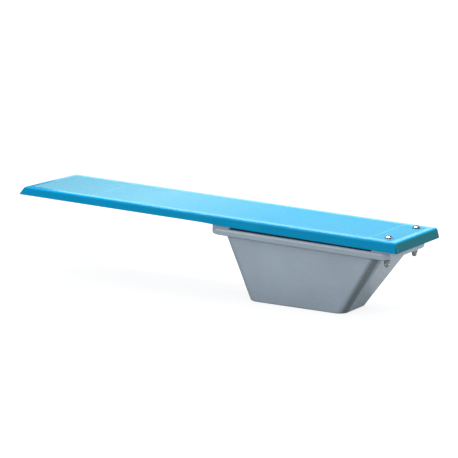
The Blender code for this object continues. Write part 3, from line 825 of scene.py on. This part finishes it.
def make_stand():
    make_tub()
    make_rim_deck()
    square = 0.002
    make_seat("fulcrum_seat", "fulcrum_riser", square, RIM_CORNER, "stand_gelcoat", SEAT_EDGE)
    make_seat("rear_seat", "rear_riser", RIM_CORNER, square, "stand_gelcoat", SEAT_EDGE)


# ---------------------------------------------------------------- fasteners


def make_bolt(side):
    """A dome-headed bolt with a flat land round its head, and a chamfered shank."""
    low, high = board_box(f"bolt_{side}")
    seat = board_box(f"cup_washer_{side}")[1].z + TOUCH_GAP
    radius = (high.x - low.x) / 2
    height = high.z - seat
    centre = ((low.x + high.x) / 2, (low.y + high.y) / 2)
    rise = height - BOLT_LAND
    sphere = (radius**2 + rise**2) / (2 * rise)
    reach = 2 * atan(rise / radius)
    crown = [reach * step / 12 for step in range(13)]
    profile = [(sphere * sin(turn), height - sphere + sphere * cos(turn)) for turn in crown]
    length = seat - low.z
    profile += [(radius, 0.0004), (radius - 0.0004, 0.0), (BOLT_SHANK + 0.0006, 0.0)]
    profile += [(BOLT_SHANK, -0.0006), (BOLT_SHANK, 0.001 - length)]
    profile += [(BOLT_SHANK - 0.001, -length), (0.0, -length)]
    bolt = turned(f"dome_bolt_{side}", profile, "chrome", (*centre, seat))
    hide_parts(f"bolt_{side}")
    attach(bolt, "stand")


def make_cup_washer(side):
    """A dished washer: a rolled rim, a hollow flank and a flat that takes the bolt's head."""
    low, high = board_box(f"cup_washer_{side}")
    radius, height = (high.x - low.x) / 2, high.z - low.z
    profile = [(BOLT_CLEARANCE, height), (WASHER_SEAT, height)]
    profile += [(WASHER_SEAT + 0.0005, height - 0.0004), (radius - 0.0012, 0.0018)]
    profile += arc((radius - 0.0009, 0.0009), 0.0009, 80, -90, 8)
    profile += [(BOLT_CLEARANCE, 0.0)]
    place = ((low.x + high.x) / 2, (low.y + high.y) / 2, low.z)
    washer = turned(f"cup_washer_{side}_finish", profile, "chrome", place, closed=True)
    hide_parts(f"cup_washer_{side}")
    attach(washer, "stand")


def make_ring(side, node, finish, edge):
    """A plain washer whose outer edges are rounded over."""
    low, high = board_box(f"{node}_{side}")
    radius, height = (high.x - low.x) / 2, high.z - low.z
    profile = [(BOLT_CLEARANCE, height)]
    profile += arc((radius - edge, height - edge), edge, 90, 0, 5)
    profile += arc((radius - edge, edge), edge, 0, -90, 5)
    profile += [(BOLT_CLEARANCE, 0.0)]
    place = ((low.x + high.x) / 2, (low.y + high.y) / 2, low.z)
    ring = turned(f"{node}_{side}_finish", profile, finish, place, closed=True)
    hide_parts(f"{node}_{side}")
    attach(ring, "stand")


def make_acorn_nut(side):
    """A hexagon with chamfered corners, run into a domed cap, over a blind hole."""
    low, high = board_box(f"acorn_nut_{side}")
    centre = ((low.x + high.x) / 2, (low.y + high.y) / 2)
    flats = min(high.x - low.x, high.y - low.y)
    cap = high.z - low.z - NUT_HEXAGON
    corner = flats / 2 / cos(pi / 6)
    hexagon = column(centre, corner, high.z - NUT_HEXAGON, high.z, 6)
    nut = make_piece(f"acorn_nut_{side}_finish", hexagon, "chrome", BOARD, 30)
    narrow, wide = corner - NUT_CHAMFER, corner + 0.0004
    trim = [(0.0, 0.002), (narrow, 0.002), (narrow, 0.0), (wide, -0.0012)]
    trim += [(wide, 0.0012 - NUT_HEXAGON), (narrow, -NUT_HEXAGON)]
    trim += [(narrow, -0.002 - NUT_HEXAGON), (0.0, -0.002 - NUT_HEXAGON)]
    cut(nut, spun(trim, (*centre, high.z)), BOARD, "INTERSECT")
    radius = flats / 2 - 0.0006
    sphere = (radius**2 + cap**2) / (2 * cap)
    reach = 2 * atan(cap / radius)
    turns = [reach * step / 14 for step in range(15)]
    dome = [(sphere * sin(turn), -(sphere * cos(turn) - sphere + cap)) for turn in reversed(turns)]
    neck = [(0.0, 0.001), (dome[0][0], 0.001)]
    cut(nut, spun(neck + dome, (*centre, high.z - NUT_HEXAGON)), BOARD, "UNION")
    bolt_end = board_box(f"bolt_{side}")[0].z
    cut(nut, column(centre, NUT_BORE, bolt_end - 2 * TOUCH_GAP, high.z + 0.01, HOLE_STEPS), BOARD)
    nut.data.shade_smooth()
    nut.data.set_sharp_from_angle(angle=radians(25))
    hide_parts(f"acorn_nut_{side}")
    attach(nut, "stand")


def make_fasteners():
    for side in ("left", "right"):
        make_bolt(side)
        make_cup_washer(side)
        make_ring(side, "rubber_washer", "pad_rubber", 0.0008)
        make_ring(side, "lower_cushion", "pad_rubber", 0.0012)
        make_ring(side, "lower_washer", "chrome", 0.0005)
        make_acorn_nut(side)


# ---------------------------------------------------------------- stage, lights and camera


def by_ray(tree, output, usual, *special):
    """Mixes shaders by kind of ray: the usual one, then pairs of a Light Path output and a shader."""
    path = tree.nodes.new("ShaderNodeLightPath")
    shader = usual
    for kind, other in special:
        mix = tree.nodes.new("ShaderNodeMixShader")
        tree.links.new(path.outputs[kind], mix.inputs["Fac"])
        tree.links.new(shader, mix.inputs[1])
        tree.links.new(other, mix.inputs[2])
        shader = mix.outputs["Shader"]
    tree.links.new(shader, output.inputs["Surface"])


def make_stage():
    """A pale seamless floor: a modest bounce onto the object, and near white to look at."""
    bm = bmesh.new()
    bmesh.ops.create_grid(bm, x_segments=1, y_segments=1, size=30.0)
    mesh = bpy.data.meshes.new("floor")
    bm.to_mesh(mesh)
    bm.free()
    floor = bpy.data.objects.new("floor", mesh)
    bpy.context.scene.collection.objects.link(floor)
    material = bpy.data.materials.new("floor")
    material.use_nodes = True
    tree = material.node_tree
    shader = tree.nodes["Principled BSDF"]
    shader.inputs["Base Color"].default_value = (0.31, 0.31, 0.31, 1.0)
    shader.inputs["Roughness"].default_value = 0.9
    shader.inputs["Specular IOR Level"].default_value = 0.1
    glow = tree.nodes.new("ShaderNodeEmission")
    glow.inputs["Strength"].default_value = 0.80
    lifted = tree.nodes.new("ShaderNodeAddShader")
    tree.links.new(shader.outputs["BSDF"], lifted.inputs[0])
    tree.links.new(glow.outputs["Emission"], lifted.inputs[1])
    seen = ("Is Camera Ray", lifted.outputs["Shader"])
    by_ray(tree, tree.nodes["Material Output"], shader.outputs["BSDF"], seen)
    mesh.materials.append(material)


def add_softbox(name, place, target, size, power, colour=(1.0, 1.0, 1.0)):
    light = bpy.data.lights.new(name, "AREA")
    light.shape = "RECTANGLE"
    light.size, light.size_y = size
    light.energy = power
    light.color = colour
    lamp = bpy.data.objects.new(name, light)
    lamp.location = place
    lamp.rotation_euler = (Vector(target) - Vector(place)).to_track_quat("-Z", "Y").to_euler()
    bpy.context.scene.collection.objects.link(lamp)
    return lamp


def add_sky(tree, strength):
    sky = tree.nodes.new("ShaderNodeBackground")
    sky.inputs["Color"].default_value = (1.0, 1.0, 1.0, 1.0)
    sky.inputs["Strength"].default_value = strength
    return sky.outputs["Background"]


def make_lights():
    """Even light from all round, an overhead strip and a key from the tip's side."""
    world = bpy.data.worlds.new("studio")
    bpy.context.scene.world = world
    world.use_nodes = True
    tree = world.node_tree
    by_ray(
        tree,
        tree.nodes["World Output"],
        add_sky(tree, 0.80),
        ("Is Glossy Ray", add_sky(tree, 0.12)),
        ("Is Camera Ray", add_sky(tree, 1.1)),
    )
    add_softbox("key", (2.2, 4.6, 1.9), (0.2, 0, 0.25), (1.6, 1.2), 60)
    add_softbox("top", (0.3, -0.35, 2.6), (0.3, -0.05, 0.3), (3.2, 0.5), 95)
    add_softbox("back", (2.6, -5.0, 1.45), (0.4, 0, 0.37), (2.9, 1.0), 14, (0.6, 0.97, 1.0))
    add_softbox("low", (-3.0, -1.6, 0.5), (-0.3, 0, 0.15), (1.6, 0.8), 26)
    bpy.context.scene.view_settings.view_transform = "Standard"


def make_camera():
    """Level with the board's rear corner, a long way off, with a long lens."""
    place = (-4.273, 9.1475, 2.1895)
    yaw, pitch, roll = radians(-27.023), radians(10.548), radians(2.172)
    ahead = Vector((-sin(yaw) * cos(pitch), -cos(yaw) * cos(pitch), -sin(pitch)))
    right = Vector((-cos(yaw), sin(yaw), 0.0))
    up = right.cross(ahead)
    across = right * cos(roll) + up * sin(roll)
    upright = up * cos(roll) - right * sin(roll)
    turn = Matrix((across, upright, -ahead)).transposed()
    data = bpy.data.cameras.new("camera")
    data.sensor_width = 36.0
    data.lens = 188.05
    data.clip_end = 100.0
    camera = bpy.data.objects.new("camera", data)
    camera.matrix_world = Matrix.Translation(place) @ turn.to_4x4()
    bpy.context.scene.collection.objects.link(camera)
    bpy.context.scene.camera = camera


# ---------------------------------------------------------------- assembly

SHELL = board_box("board_shell_rear", "board_shell_front")
RIM = board_box("stand_rim_deck")
LEDGE = board_box("lower_cushion_left")[1].z + TOUCH_GAP
SIDE_CORE = board_box("rim_core_left")
PAST_CORE = OPENING_CORNER + TOUCH_GAP
OPENING = (SIDE_CORE[0].x - PAST_CORE, SIDE_CORE[1].x + PAST_CORE)
TIP_THICKNESS = -underside(SHELL[1].x)
HINGE_X = (BOARD.inverted() @ Vector(frame["joints"][0]["pos_m"])).x
TREADS = {
    "tread_tip_panel": board_box("tread_tip"),
    "tread_main_panel": board_box("tread_main_rear", "tread_main_front"),
    "tread_rear_panel": board_box("tread_bolt_panel"),
}
BOLTS = [tuple((sum(board_box(f"bolt_{side}"), Vector()) / 2).xy) for side in ("left", "right")]

finish_cad_nodes()
make_board()
make_stand()
make_fasteners()
make_stage()
make_lights()
make_camera()
